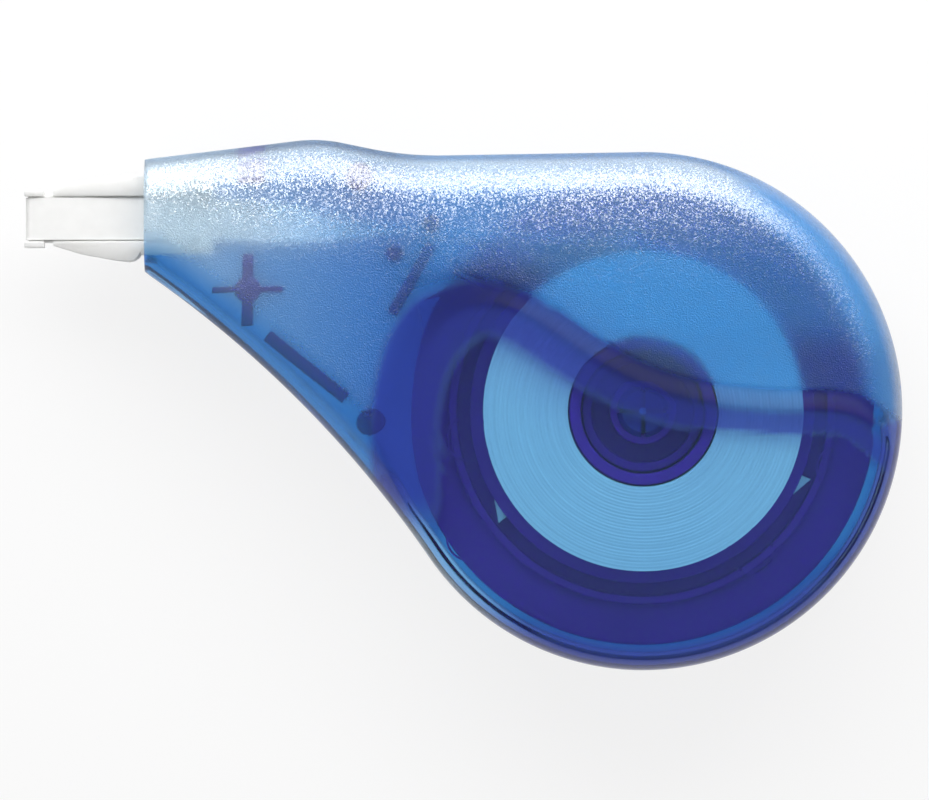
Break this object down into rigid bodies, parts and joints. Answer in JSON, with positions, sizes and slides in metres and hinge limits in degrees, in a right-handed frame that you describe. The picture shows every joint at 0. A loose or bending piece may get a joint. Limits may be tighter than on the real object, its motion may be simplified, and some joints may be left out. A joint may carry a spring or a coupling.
{
  "type": "correction tape dispenser",
  "caption": "Teardrop side-pull correction tape dispenser: frosted translucent case with a clear round window, white wedge tip, and coaxial supply and take-up reels that the tape links.",
  "frame": {"origin": "where the reel axle meets the flat back that the part rests on", "axes": "+Z along the reel axle, out of the back towards the window; +X from the applicator tip to the round end of the case; +Y across the case towards the straight finger edge"},
  "size_m": [0.0875, 0.0528, 0.0174],
  "materials": {
    "translucent_blue": "frosted on the grip, clear over the window",
    "deep_blue": "glossy translucent",
    "milky_white": "milky, satin",
    "white_acetal": "satin",
    "white_tape": "matt coated paper"
  },
  "bodies": {
    "case": {"front_shell": "translucent_blue", "back_shell": "translucent_blue", "applicator_tip": "milky_white", "tape_run": "white_tape"},
    "supply": {"supply_reel": "deep_blue", "tape_core": "deep_blue", "tape_roll": "white_tape", "clutch_ring": "white_acetal"},
    "take_up": {"take_up_reel": "deep_blue", "take_up_flange": "deep_blue", "spent_tape": "white_tape"}
  },
  "joints": [
    {"name": "supply_spin", "type": "hinge", "parent": "case", "child": "supply", "pos_m": [0, 0, 0.012], "axis": [0, 0, 1], "continuous": true},
    {"name": "take_up_spin", "type": "hinge", "parent": "case", "child": "take_up", "pos_m": [0, 0, 0.0047], "axis": [0, 0, 1], "continuous": true}
  ],
  "couplings": [
    {"joint": "take_up_spin", "follows": "supply_spin", "ratio": 0.797}
  ]
}
